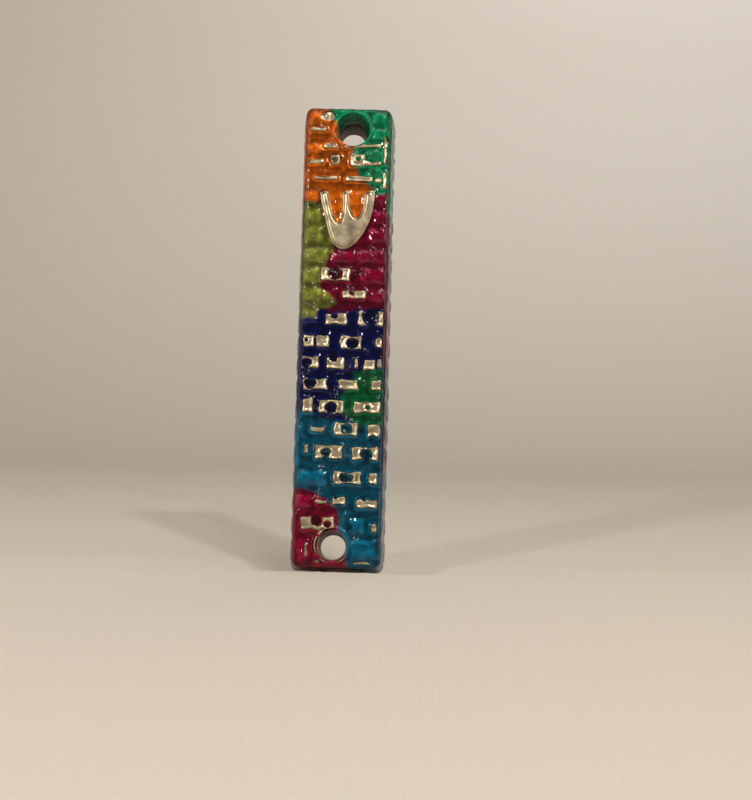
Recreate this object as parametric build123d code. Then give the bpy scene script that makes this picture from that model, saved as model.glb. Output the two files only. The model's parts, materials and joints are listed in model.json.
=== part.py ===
"""Mezuzah case: a small cast-metal box for a rolled parchment, fixed to a doorpost by two screws.

The front and sides carry a relief of wall stones in courses, with pools of coloured enamel between
them, and an applied three-pronged emblem. The parchment roll, in a clear film sleeve, lies in a
cavity that is open at the back, and a push-fit plastic cover closes it.

Everything is drawn looking at the front: x to the right, y up the case, z out of the front, with
the back plane at z = 0. The last step turns it so that +Z is up and the front faces -Y.
"""
from build123d import *
from math import radians, tan
import os

# ---- driving dimensions, in millimetres -------------------------------------------------------
LENGTH = 70.0             # casting, at the back plane
WIDTH = 13.6              # casting, at the back plane
DEPTH = 8.2               # back plane to the ground of the front relief
DRAFT = 4.0               # degrees, by which the outer walls close in towards the front
CORNER_RADIUS = 0.9       # corners of the outline
FRONT_EDGE_RADIUS = 0.45  # from the ground of the front to the side walls

FRONT_WALL = 1.4          # metal between the cavity and the front ground
SIDE_WALL = 2.4           # cavity to the outside, at the back plane
BOSS_WALL = 1.0           # metal between a screw hole's mouth and the cover
CAVITY_RADIUS = 1.2       # corners of the cavity
LEDGE = 1.0               # shelf round the cavity that the cover seats on

HOLE_RADIUS = 1.9         # straight part of each screw hole, at the back
HOLE_STRAIGHT = 4.2       # length of that straight part
UPPER_MOUTH_RADIUS = 2.6  # where the flared upper hole meets the front ground
LOWER_MOUTH_RADIUS = 2.35
HOLE_END_WALL = 0.55      # metal left between a mouth and the end of the front
HOLE_OFFSET = 0.65        # the upper hole stands this far right of centre, the lower one left
COLLAR_WIDTH = 0.35
COLLAR_HEIGHT = 0.55

STONE_HIGH = 0.75         # stones that stand out of the enamel
STONE_LOW = 0.32          # stones that the enamel covers
STONE_DRAFT = 8.0         # degrees
STONE_CORNER = 0.28
STONE_CROWN_CORNER = 0.12
STONE_ROOT = 0.2          # how deep a stone is drawn into the ground
PIT_DEPTH = 0.5           # round dimples in the stone faces
CUT_BEYOND = 1.0          # how far a cutting shape runs on past what it cuts
SIDE_RIDGE = 0.18         # how far the courses stand out of the side walls
SIDE_RIDGE_MARGIN = 0.9   # plain strip in front of and behind the side ridges

ENAMEL_LEVEL = 0.45       # top of the enamel above the front ground
ENAMEL_SKIN = 0.35        # enamel on the side and end walls
ENAMEL_EDGE_RADIUS = 0.55
BARE_RIM = 1.0            # strip of bare metal left at the back
CORE_MARGIN = 0.3         # how far the solid inside of the walls stays from their surfaces
LEAST_POOL = 0.02         # cubic millimetres; smaller enamel drops are left out

EMBLEM_DOWN = 12.6        # from the top of the front to the top of the emblem
EMBLEM_FLANGE = 0.7       # height of the emblem's lower step
EMBLEM_STEP = 0.35        # height of its upper step
EMBLEM_SHOULDER = 0.16    # width of the ledge between the two
EMBLEM_GAP = 0.08         # between the emblem and any stone beside it

COVER_THICKNESS = 1.2
COVER_CLEARANCE = 0.1     # round the edge of the cover
SKIRT_DEPTH = 1.3
SKIRT_WALL = 0.8
SKIRT_CLEARANCE = 0.08
CRUSH_RIB_RADIUS = 0.25
CRUSH_RIB_CLEARANCE = 0.02
CRUSH_RIBS_PER_SIDE = 3
PRY_NOTCH_RADIUS = 1.3
SADDLE_THICKNESS = 0.8
SADDLE_HEIGHT = 1.9
SADDLE_COUNT = 3

ROLL_CLEARANCE = 0.3      # sleeve to the cavity floor and to the cover
SADDLE_CLEARANCE = 0.12   # sleeve to the saddles
SLEEVE_WALL = 0.12
SLEEVE_FIT = 0.04         # sleeve to the parchment
SCROLL_WALL = 1.2         # thickness of the rolled layers
END_ROOM = 5.4            # free cavity beyond each end of the sleeve
SLEEVE_OVERHANG = 0.8     # sleeve beyond each end of the parchment

# ---- layout of the front ----------------------------------------------------------------------
# The relief is laid out on a face of this size, and stretched to the real one. "Across" runs
# from the left edge of the face and "down" from its top.
LAYOUT_WIDTH = 12.8
LAYOUT_LENGTH = 70.0
HIGH, LOW = STONE_HIGH, STONE_LOW

# Each course: top, bottom, and its stones as (left, right, top, bottom, height, pits). A pit is
# (across, down, radius).
COURSES = [
    (0.7, 2.2, [(0.5, 3.0, 0.7, 2.2, LOW, []), (10.2, 12.3, 0.7, 2.2, LOW, [])]),
    (3.0, 4.6, [(0.5, 2.9, 3.0, 3.7, HIGH, []), (10.4, 12.3, 3.1, 4.6, LOW, [])]),
    (5.5, 6.5, [(0.5, 2.2, 5.6, 6.8, LOW, []), (2.6, 4.9, 5.5, 6.4, HIGH, []),
                (5.7, 11.6, 5.5, 6.2, HIGH, []), (11.9, 12.5, 5.8, 9.0, HIGH, [])]),
    (7.1, 9.2, [(0.4, 2.8, 8.0, 8.9, HIGH, []), (3.7, 5.2, 7.2, 9.0, HIGH, [(4.4, 8.1, 0.35)]),
                (6.7, 7.7, 7.0, 9.2, HIGH, []), (7.7, 11.6, 8.2, 9.0, HIGH, [])]),
    (10.6, 11.7, [(1.2, 5.0, 10.7, 11.4, HIGH, []), (6.1, 10.3, 10.6, 11.6, HIGH, []),
                  (10.6, 11.7, 10.8, 11.7, HIGH, []), (11.9, 12.5, 9.7, 12.7, HIGH, [])]),
    (13.0, 14.4, [(0.4, 1.9, 13.0, 14.4, LOW, []), (10.9, 12.4, 13.2, 14.6, LOW, [])]),
    (15.9, 17.8, [(0.4, 2.3, 15.9, 17.8, LOW, []), (10.7, 12.4, 16.0, 17.9, LOW, [])]),
    (18.8, 20.9, [(0.4, 2.6, 18.8, 20.9, LOW, []), (10.2, 12.4, 18.9, 20.8, LOW, [])]),
    (22.1, 24.0, [(0.4, 3.7, 22.1, 24.0, LOW, []), (4.4, 8.0, 22.4, 24.0, LOW, []),
                  (8.6, 12.4, 22.2, 24.0, LOW, [])]),
    (25.0, 27.2, [(0.4, 2.3, 25.0, 27.2, LOW, []), (2.8, 7.3, 25.0, 27.2, HIGH, [(5.0, 25.8, 1.1)]),
                  (9.2, 12.4, 25.1, 27.2, LOW, [])]),
    (28.4, 30.0, [(0.4, 2.8, 28.4, 30.0, LOW, []), (3.3, 5.1, 28.4, 30.0, LOW, []),
                  (6.1, 9.9, 28.5, 29.9, HIGH, [(7.6, 28.9, 0.4)]),
                  (10.4, 12.4, 28.5, 30.0, LOW, [])]),
    (31.6, 33.9, [(0.5, 2.5, 31.6, 33.6, LOW, []), (3.7, 7.0, 32.0, 33.9, HIGH, [(5.0, 32.5, 0.45)]),
                  (8.7, 12.5, 31.6, 33.9, HIGH, [(10.6, 32.6, 1.3)])]),
    (35.4, 37.5, [(0.4, 2.1, 35.4, 37.4, HIGH, [(0.9, 36.3, 0.3)]), (2.4, 4.4, 35.4, 37.4, HIGH, []),
                  (6.0, 9.3, 35.4, 37.6, HIGH, [(7.9, 36.6, 0.85)]),
                  (11.4, 12.5, 35.5, 37.3, HIGH, [])]),
    (38.7, 40.7, [(0.4, 2.9, 38.7, 40.6, HIGH, [(1.0, 39.8, 0.8)]),
                  (4.0, 6.8, 38.7, 40.7, HIGH, [(5.1, 38.9, 0.55)]),
                  (8.2, 8.9, 38.8, 40.6, HIGH, []), (9.7, 11.5, 39.0, 40.8, HIGH, []),
                  (11.8, 12.5, 38.8, 40.5, HIGH, [])]),
    (42.0, 43.9, [(0.6, 4.3, 42.0, 43.9, HIGH, [(1.7, 42.8, 0.85)]),
                  (6.0, 9.0, 42.1, 43.8, HIGH, []), (11.0, 12.5, 42.0, 43.8, HIGH, [])]),
    (45.2, 47.4, [(0.7, 2.2, 45.0, 47.4, HIGH, []), (3.1, 6.9, 45.2, 47.4, HIGH, [(4.9, 46.5, 0.85)]),
                  (8.3, 12.5, 45.4, 47.3, HIGH, [(10.6, 46.4, 0.25)])]),
    (48.6, 50.9, [(2.0, 4.1, 49.5, 50.2, HIGH, []), (5.5, 9.1, 48.6, 50.7, HIGH, [(7.4, 49.6, 0.8)]),
                  (10.5, 12.5, 48.7, 50.9, HIGH, [(11.4, 51.0, 0.5)])]),
    (52.0, 54.4, [(1.1, 1.8, 52.0, 53.6, HIGH, []),
                  (2.7, 6.9, 52.0, 54.3, HIGH, [(4.4, 53.3, 0.65), (4.4, 54.2, 0.5)]),
                  (8.3, 12.3, 52.2, 54.4, HIGH, [(10.5, 53.4, 0.9), (10.5, 54.4, 0.6)])]),
    (56.0, 58.0, [(0.5, 4.5, 56.1, 58.0, LOW, []),
                  (5.6, 9.9, 56.0, 58.0, HIGH, [(7.4, 56.9, 0.75), (8.1, 57.0, 0.5)]),
                  (10.9, 12.3, 56.1, 58.0, HIGH, [])]),
    (59.7, 61.5, [(0.4, 2.2, 59.7, 61.4, LOW, []), (3.0, 4.9, 60.3, 61.0, HIGH, []),
                  (5.5, 7.6, 59.8, 61.1, HIGH, [(6.1, 59.8, 0.4)]),
                  (9.2, 12.3, 60.0, 61.5, HIGH, [(10.3, 59.9, 0.4)])]),
    (62.8, 64.9, [(1.0, 6.0, 62.8, 64.9, HIGH, [(3.4, 63.3, 0.9), (4.9, 63.9, 0.6)]),
                  (8.6, 10.4, 63.0, 65.0, LOW, []), (11.5, 12.3, 63.6, 65.1, HIGH, [])]),
    (66.2, 69.1, [(0.8, 2.3, 66.3, 69.2, LOW, []), (8.8, 12.2, 66.2, 69.0, LOW, [])]),
]

# The enamel colours, in the order that they claim the face: the outline of each as
# (across, down). BEYOND lies outside the case, and SIDE is where the face turns into its
# right-hand wall, on which the colours meet lower down than on the face.
BEYOND = 4.0
LEFT = -BEYOND
RIGHT = LAYOUT_WIDTH + BEYOND
SIDE = LAYOUT_WIDTH - 0.1
TOP = -BEYOND
BOTTOM = LAYOUT_LENGTH + BEYOND
PATCHES = {
    "enamel_orange": [(LEFT, TOP), (3.4, TOP), (3.4, 0.8), (5.0, 3.0), (6.6, 5.0), (7.4, 9.2),
                      (9.2, 12.1), (10.5, 12.5), (10.5, 13.6), (9.4, 17.0), (6.5, 20.0),
                      (3.6, 18.0), (2.4, 14.8), (LEFT, 14.8)],
    "enamel_emerald": [(3.4, TOP), (RIGHT, TOP), (RIGHT, 16.5), (SIDE, 16.5), (SIDE, 13.2),
                       (9.4, 14.0), (6.0, 11.0), (3.4, 2.0)],
    "enamel_olive": [(LEFT, 14.0), (2.6, 14.0), (5.2, 19.5), (4.7, 22.3), (3.8, 23.6), (3.6, 24.7),
                     (2.7, 25.2), (2.7, 28.2), (4.9, 29.9), (5.2, 30.8), (2.8, 31.6),
                     (2.1, 32.8), (LEFT, 33.2)],
    "enamel_crimson_upper": [(2.0, 12.0), (RIGHT, 12.0), (RIGHT, 40.0), (SIDE, 40.0),
                             (SIDE, 31.2), (8.6, 31.2), (5.0, 31.9), (2.0, 31.3)],
    "enamel_jade": [(8.0, 40.9), (SIDE, 40.6), (SIDE, 48.8), (8.2, 48.6), (7.0, 47.6),
                    (6.7, 45.4), (6.0, 44.5), (7.7, 43.6), (8.7, 42.2)],
    "enamel_cobalt": [(LEFT, 30.0), (RIGHT, 30.0), (RIGHT, 56.0), (SIDE, 56.0), (SIDE, 48.4),
                      (5.4, 48.6), (3.0, 47.9), (1.8, 47.0), (LEFT, 46.9)],
    "enamel_crimson_lower": [(LEFT, 58.6), (1.0, 58.7), (3.0, 59.3), (4.5, 60.1), (5.2, 61.0),
                             (6.5, 61.6), (6.6, 65.0), (7.9, 68.0), (8.0, BOTTOM),
                             (LEFT, BOTTOM)],
    "enamel_turquoise": [(LEFT, 30.0), (RIGHT, 30.0), (RIGHT, BOTTOM), (LEFT, BOTTOM)],
}

# The emblem, as (across, down) from the middle of its top: its outer line from the tip of the
# left prong round the bowl to the tip of the right one, and the two bays between the prongs.
EMBLEM_BOWL = [(-4.1, 0.4), (-3.8, 2.2), (-3.2, 4.5), (-2.6, 6.8), (-1.8, 8.5), (-0.4, 9.25),
               (1.1, 8.6), (2.5, 6.9), (3.6, 4.6), (4.1, 2.3), (4.3, 0.0)]
EMBLEM_LEFT_BAY = [(-2.7, -0.6), (-2.3, 2.2), (-1.8, 4.0), (-1.15, 5.0), (-0.75, 4.1),
                   (-0.65, 2.6), (-0.7, -0.6)]
EMBLEM_RIGHT_BAY = [(0.45, -0.6), (0.55, 2.2), (0.95, 3.5), (1.6, 4.3), (2.15, 3.5),
                    (2.5, 2.2), (2.7, -0.6)]
PRONG_RADIUS = 0.25
EMBLEM_FACETS = 18        # straight pieces in each of its curves

# ---- sizes that follow ------------------------------------------------------------------------
CLOSING = DEPTH * tan(radians(DRAFT))          # how far each outer wall closes in at the front
FACE_WIDTH = WIDTH - 2 * CLOSING
FACE_LENGTH = LENGTH - 2 * CLOSING
UPPER_HOLE = (HOLE_OFFSET, FACE_LENGTH / 2 - HOLE_END_WALL - UPPER_MOUTH_RADIUS)
LOWER_HOLE = (-HOLE_OFFSET, -FACE_LENGTH / 2 + HOLE_END_WALL + LOWER_MOUTH_RADIUS)
HOLES = [(UPPER_HOLE, UPPER_MOUTH_RADIUS), (LOWER_HOLE, LOWER_MOUTH_RADIUS)]

SEAT_TOP = UPPER_HOLE[1] - UPPER_MOUTH_RADIUS - BOSS_WALL
SEAT_BOTTOM = LOWER_HOLE[1] + LOWER_MOUTH_RADIUS + BOSS_WALL
SEAT_LENGTH = SEAT_TOP - SEAT_BOTTOM
SEAT_MIDDLE = (SEAT_TOP + SEAT_BOTTOM) / 2
CAVITY_WIDTH = WIDTH - 2 * SIDE_WALL
CAVITY_LENGTH = SEAT_LENGTH - 2 * LEDGE
CAVITY_FLOOR = DEPTH - FRONT_WALL
SEAT_WIDTH = CAVITY_WIDTH + 2 * LEDGE

SLEEVE_RADIUS = (CAVITY_FLOOR - COVER_THICKNESS) / 2 - ROLL_CLEARANCE
SLEEVE_LENGTH = CAVITY_LENGTH - 2 * END_ROOM
SLEEVE_DEPTH = (CAVITY_FLOOR + COVER_THICKNESS) / 2
SCROLL_RADIUS = SLEEVE_RADIUS - SLEEVE_WALL - SLEEVE_FIT
SCROLL_LENGTH = SLEEVE_LENGTH - 2 * SLEEVE_OVERHANG


def on_face(across, down):
    """A place in the layout as x and y on the real face."""
    return (
        (across / LAYOUT_WIDTH - 0.5) * FACE_WIDTH,
        (0.5 - down / LAYOUT_LENGTH) * FACE_LENGTH,
    )


def drafted_block(outset, height):
    """The case's outer form, grown by outset on all its walls."""
    outline = RectangleRounded(WIDTH + 2 * outset, LENGTH + 2 * outset, CORNER_RADIUS + outset)
    return extrude(outline, height, taper=DRAFT)


def front_edges(block):
    return block.faces().sort_by(Axis.Z)[-1].edges()


def rounded_slab(width, length, radius, bottom, height):
    """A plate with rounded corners on the seat's middle."""
    outline = RectangleRounded(width, length, radius)
    return Pos(0, SEAT_MIDDLE, bottom) * extrude(outline, height)


def disc(centre, radius, bottom, height):
    return Pos(*centre, bottom) * extrude(Circle(radius), height)


def screw_hole(centre, mouth_radius):
    """Straight at the back, then flaring to the mouth and on through the collar."""
    flare_length = DEPTH - HOLE_STRAIGHT
    slope = (mouth_radius - HOLE_RADIUS) / flare_length
    past_mouth = COLLAR_HEIGHT + ENAMEL_LEVEL
    flare = Cone(HOLE_RADIUS, mouth_radius + slope * past_mouth, flare_length + past_mouth,
                 align=(Align.CENTER, Align.CENTER, Align.MIN))
    return disc(centre, HOLE_RADIUS, 0, HOLE_STRAIGHT) + Pos(*centre, HOLE_STRAIGHT) * flare


def stone(left, right, top, bottom, height):
    """One block of the wall, with sloping sides."""
    x0, y1 = on_face(left, top)
    x1, y0 = on_face(right, bottom)
    rise = STONE_ROOT + height
    narrowing = 2 * rise * tan(radians(STONE_DRAFT))
    foot = RectangleRounded(x1 - x0, y1 - y0, STONE_CORNER)
    crown = RectangleRounded(x1 - x0 - narrowing, y1 - y0 - narrowing, STONE_CROWN_CORNER)
    block = loft([foot, Pos(0, 0, rise) * crown], ruled=True)
    return Pos((x0 + x1) / 2, (y0 + y1) / 2, DEPTH - STONE_ROOT) * block


def side_ridges():
    """The courses, carried round onto both side walls as low bands."""
    reach = DEPTH - 2 * SIDE_RIDGE_MARGIN
    bands = []
    for top, bottom, _ in COURSES:
        _, y1 = on_face(0, top)
        _, y0 = on_face(0, bottom)
        bands.append(Pos(0, (y0 + y1) / 2, DEPTH / 2) * Box(2 * WIDTH, y1 - y0, reach))
    return drafted_block(SIDE_RIDGE, DEPTH - SIDE_RIDGE_MARGIN) & (bands[0] + bands[1:])


def emblem_outline():
    """Three prongs rising from a bowl, faceted so that its offsets are made of lines and arcs."""
    top_y = FACE_LENGTH / 2 - EMBLEM_DOWN

    def form(line):
        curve = Spline(*[(x, top_y - down) for x, down in line])
        facets = [curve @ (i / EMBLEM_FACETS) for i in range(EMBLEM_FACETS + 1)]
        return make_face(Polyline(*facets, close=True))

    outline = form(EMBLEM_BOWL) - form(EMBLEM_LEFT_BAY) - form(EMBLEM_RIGHT_BAY)
    return offset(offset(outline, -PRONG_RADIUS), PRONG_RADIUS)


def make_emblem():
    outline = emblem_outline()
    flange = Pos(0, 0, DEPTH) * extrude(outline, EMBLEM_FLANGE)
    inner = offset(outline, -EMBLEM_SHOULDER)
    return flange + Pos(0, 0, DEPTH) * extrude(inner, EMBLEM_FLANGE + EMBLEM_STEP)


def make_relief():
    """All the stones, clear of the collars and of the emblem, with their pits."""
    stones, pits = [], []
    for _, _, row in COURSES:
        for left, right, top, bottom, height, row_pits in row:
            stones.append(stone(left, right, top, bottom, height))
            for across, down, radius in row_pits:
                pit_floor = DEPTH + height - PIT_DEPTH
                pits.append(disc(on_face(across, down), radius, pit_floor, PIT_DEPTH + CUT_BEYOND))
    relief = stones[0] + stones[1:]
    clear_height = STONE_ROOT + STONE_HIGH + CUT_BEYOND
    field = Pos(0, 0, DEPTH - STONE_ROOT) * extrude(offset(emblem_outline(), EMBLEM_GAP), clear_height)
    rings = [disc(centre, mouth + COLLAR_WIDTH, DEPTH - STONE_ROOT, clear_height)
             for centre, mouth in HOLES]
    return relief - (pits + [field] + rings)


def make_casting():
    block = drafted_block(0, DEPTH)
    block = fillet(front_edges(block), FRONT_EDGE_RADIUS)
    collars = [disc(centre, mouth + COLLAR_WIDTH, DEPTH - STONE_ROOT, STONE_ROOT + COLLAR_HEIGHT)
               for centre, mouth in HOLES]
    block = block + side_ridges() + make_relief() + collars
    cavity = rounded_slab(CAVITY_WIDTH, CAVITY_LENGTH, CAVITY_RADIUS, 0, CAVITY_FLOOR)
    seat = rounded_slab(SEAT_WIDTH, SEAT_LENGTH, CAVITY_RADIUS + LEDGE, 0, COVER_THICKNESS)
    return block - [cavity, seat] - [screw_hole(centre, mouth) for centre, mouth in HOLES]


def make_enamel(casting, emblem):
    """The enamel as one skin over the relief, shared out among the colours."""
    skin = drafted_block(ENAMEL_SKIN, DEPTH + ENAMEL_LEVEL)
    skin = fillet(front_edges(skin), ENAMEL_EDGE_RADIUS)
    bare = Pos(0, 0, BARE_RIM / 2) * Box(2 * WIDTH, 2 * LENGTH, BARE_RIM)
    core_height = DEPTH - FRONT_WALL / 2
    core = Pos(0, 0, core_height / 2) * Box(SEAT_WIDTH + 2 * CORE_MARGIN,
                                            FACE_LENGTH - 4 * CORE_MARGIN, core_height)
    skin = skin - bare - core - [screw_hole(centre, mouth) for centre, mouth in HOLES]
    cut_height = DEPTH + ENAMEL_LEVEL + CUT_BEYOND
    pools = {}
    for name, outline in PATCHES.items():
        patch_face = make_face(Polyline(*[on_face(*p) for p in outline], close=True))
        prism = extrude(patch_face, cut_height)
        patch = (skin & prism) - casting - emblem
        pools[name] = Compound(children=[s for s in patch.solids() if s.volume > LEAST_POOL])
        skin = skin - prism
    return pools


def make_cover():
    """Push-fit cover: a plate, a skirt with crush ribs, and saddles that cradle the roll."""
    plate = rounded_slab(SEAT_WIDTH - 2 * COVER_CLEARANCE, SEAT_LENGTH - 2 * COVER_CLEARANCE,
                         CAVITY_RADIUS + LEDGE - COVER_CLEARANCE, 0, COVER_THICKNESS)
    skirt_width = CAVITY_WIDTH - 2 * SKIRT_CLEARANCE
    skirt_length = CAVITY_LENGTH - 2 * SKIRT_CLEARANCE
    skirt_top = COVER_THICKNESS + SKIRT_DEPTH
    skirt = rounded_slab(skirt_width, skirt_length, CAVITY_RADIUS - SKIRT_CLEARANCE, 0, skirt_top)
    skirt -= rounded_slab(skirt_width - 2 * SKIRT_WALL, skirt_length - 2 * SKIRT_WALL,
                          CAVITY_RADIUS - SKIRT_CLEARANCE - SKIRT_WALL / 2,
                          COVER_THICKNESS, SKIRT_DEPTH)
    saddle_width = skirt_width - SKIRT_WALL
    saddle_top = COVER_THICKNESS + SADDLE_HEIGHT
    spacing = CAVITY_LENGTH / SADDLE_COUNT
    saddles = [
        Pos(0, SEAT_MIDDLE + (i - (SADDLE_COUNT - 1) / 2) * spacing, saddle_top / 2)
        * Box(saddle_width, SADDLE_THICKNESS, saddle_top)
        for i in range(SADDLE_COUNT)
    ]
    cradle = roll(SLEEVE_RADIUS + SADDLE_CLEARANCE, SLEEVE_LENGTH)
    cover = plate + skirt + [saddle - cradle for saddle in saddles]
    rib_x = CAVITY_WIDTH / 2 - CRUSH_RIB_CLEARANCE - CRUSH_RIB_RADIUS
    rib_spacing = CAVITY_LENGTH / (CRUSH_RIBS_PER_SIDE + 1)
    for side in (-1, 1):
        for i in range(CRUSH_RIBS_PER_SIDE):
            y = SEAT_MIDDLE + (i - (CRUSH_RIBS_PER_SIDE - 1) / 2) * rib_spacing
            cover += disc((side * rib_x, y), CRUSH_RIB_RADIUS, COVER_THICKNESS / 2,
                          skirt_top - COVER_THICKNESS / 2)
    notch_y = SEAT_BOTTOM + COVER_CLEARANCE - PRY_NOTCH_RADIUS / 2
    return cover - disc((0, notch_y), PRY_NOTCH_RADIUS, 0, COVER_THICKNESS)


def roll(radius, length):
    """A cylinder along the case, on the parchment's axis."""
    cylinder = Rot(X=90) * Cylinder(radius, length)
    return Pos(0, SEAT_MIDDLE, SLEEVE_DEPTH) * cylinder


def make_sleeve():
    return roll(SLEEVE_RADIUS, SLEEVE_LENGTH) - roll(SLEEVE_RADIUS - SLEEVE_WALL, SLEEVE_LENGTH)


def make_scroll():
    return roll(SCROLL_RADIUS, SCROLL_LENGTH) - roll(SCROLL_RADIUS - SCROLL_WALL, SCROLL_LENGTH)


def placed(shape):
    """The shape's solids, turned so that +Z is up and the front faces -Y."""
    solids = [Plane.XZ.location * solid for solid in shape.solids()]
    return solids[0] if len(solids) == 1 else Compound(children=solids)


def main():
    casting = make_casting()
    emblem = make_emblem()
    nodes = {
        "case_casting": casting,
        "three_prong_emblem": emblem,
        "back_cover": make_cover(),
        "scroll_sleeve": make_sleeve(),
        "parchment_scroll": make_scroll(),
        **make_enamel(casting, emblem),
    }
    os.makedirs("parts", exist_ok=True)
    for name, shape in nodes.items():
        export_step(placed(shape), f"parts/{name}.step")


main()
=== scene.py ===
"""Mezuzah case in cast white metal and cold enamel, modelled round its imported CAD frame."""
import json
import math

import bpy
import numpy as np
from mathutils import Matrix, Vector


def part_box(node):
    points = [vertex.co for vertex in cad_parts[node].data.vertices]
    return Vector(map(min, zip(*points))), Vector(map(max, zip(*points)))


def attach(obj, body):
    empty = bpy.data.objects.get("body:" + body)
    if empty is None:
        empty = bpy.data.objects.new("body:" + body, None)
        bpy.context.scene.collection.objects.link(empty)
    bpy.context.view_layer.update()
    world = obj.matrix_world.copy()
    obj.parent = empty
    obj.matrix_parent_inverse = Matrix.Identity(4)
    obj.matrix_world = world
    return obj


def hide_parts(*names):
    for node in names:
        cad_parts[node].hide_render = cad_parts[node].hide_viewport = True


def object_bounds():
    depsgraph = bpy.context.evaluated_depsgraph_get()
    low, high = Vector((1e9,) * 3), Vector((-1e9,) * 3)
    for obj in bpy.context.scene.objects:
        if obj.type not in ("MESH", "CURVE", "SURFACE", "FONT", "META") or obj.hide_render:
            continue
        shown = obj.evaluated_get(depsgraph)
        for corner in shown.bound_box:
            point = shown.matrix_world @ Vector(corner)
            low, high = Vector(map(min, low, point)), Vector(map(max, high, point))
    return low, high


bl_info = {
    "name": "Mezuzah case",
    "version": (1, 0, 0),
    "blender": (4, 5, 0),
    "location": "View3D > Sidebar > Mezuzah",
    "description": "Builds an enamelled cast-metal mezuzah case, its roll and its stage",
    "category": "Object",
}

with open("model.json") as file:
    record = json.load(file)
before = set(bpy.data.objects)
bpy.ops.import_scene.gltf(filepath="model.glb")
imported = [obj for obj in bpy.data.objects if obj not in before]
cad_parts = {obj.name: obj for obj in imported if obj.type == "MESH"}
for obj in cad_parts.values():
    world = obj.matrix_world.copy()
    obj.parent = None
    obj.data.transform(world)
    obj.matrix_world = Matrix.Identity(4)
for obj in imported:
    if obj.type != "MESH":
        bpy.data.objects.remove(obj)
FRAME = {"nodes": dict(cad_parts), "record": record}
CAD_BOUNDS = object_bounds()
MM = 0.001

# ---- the casting's own sizes, in millimetres --------------------------------------------------
CAST_LO, CAST_HI = (np.array(corner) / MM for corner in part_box("case_casting"))
LENGTH = CAST_HI[2] - CAST_LO[2]
WIDTH = 13.6
DEPTH = 8.2
DRAFT = 4.0
CLOSING = math.tan(math.radians(DRAFT))
CORNER = 0.9
FRONT_ROUNDING = 0.7
FACE_WIDTH = WIDTH - 2 * DEPTH * CLOSING
FACE_LENGTH = LENGTH - 2 * DEPTH * CLOSING
LAYOUT_WIDTH, LAYOUT_LENGTH = 12.8, 70.0
SIDE_RIDGE = 0.18
HIGH, LOW = 0.75, 0.32
CAVITY_FLOOR, CAVITY_CORNER = 6.8, 1.2
COVER_SEAT, SEAT_CORNER, SEAT_LEDGE, SEAT_CLEARANCE = 1.2, 2.2, 1.0, 0.1
MOUNTS = {m["name"]: m for m in FRAME["record"]["mounts"]}
STRAIGHT_BORE = MOUNTS["upper_screw_hole"]["dims"]["length_mm"]
BORE_RADIUS = MOUNTS["upper_screw_hole"]["dims"]["r_mm"]
UPPER_MOUTH, LOWER_MOUTH = 2.6, 2.35
HOLES = [
    (MOUNTS[name]["pos_m"][0] / MM, MOUNTS[name]["pos_m"][2] / MM, mouth)
    for name, mouth in (("upper_screw_hole", UPPER_MOUTH), ("lower_screw_hole", LOWER_MOUTH))
]
HOLE_ROUNDING = 0.12
COLLAR_WIDTH, COLLAR_HEIGHT = 0.35, 0.55
COVER_LO, COVER_HI = (np.array(corner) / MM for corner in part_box("back_cover"))

# ---- the enamel's own sizes, in millimetres ---------------------------------------------------
SIDE_SKIN, SIDE_SKIN_ON_COURSES = 0.27, 0.13
SKIN_ROUNDING = 0.9
BARE_BACK = 1.0
BORE_LINING, LINING_FROM, LINING_FULL = 0.13, 5.0, 5.8
DROP_HEIGHT, DROP_METAL = 0.78, 0.42
# Extra depth of colour in joints, pits and listed spots: partly deeper enamel, partly painted shade.
EXTRA_DEPTH_AND_SHADE = 0.3

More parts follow.
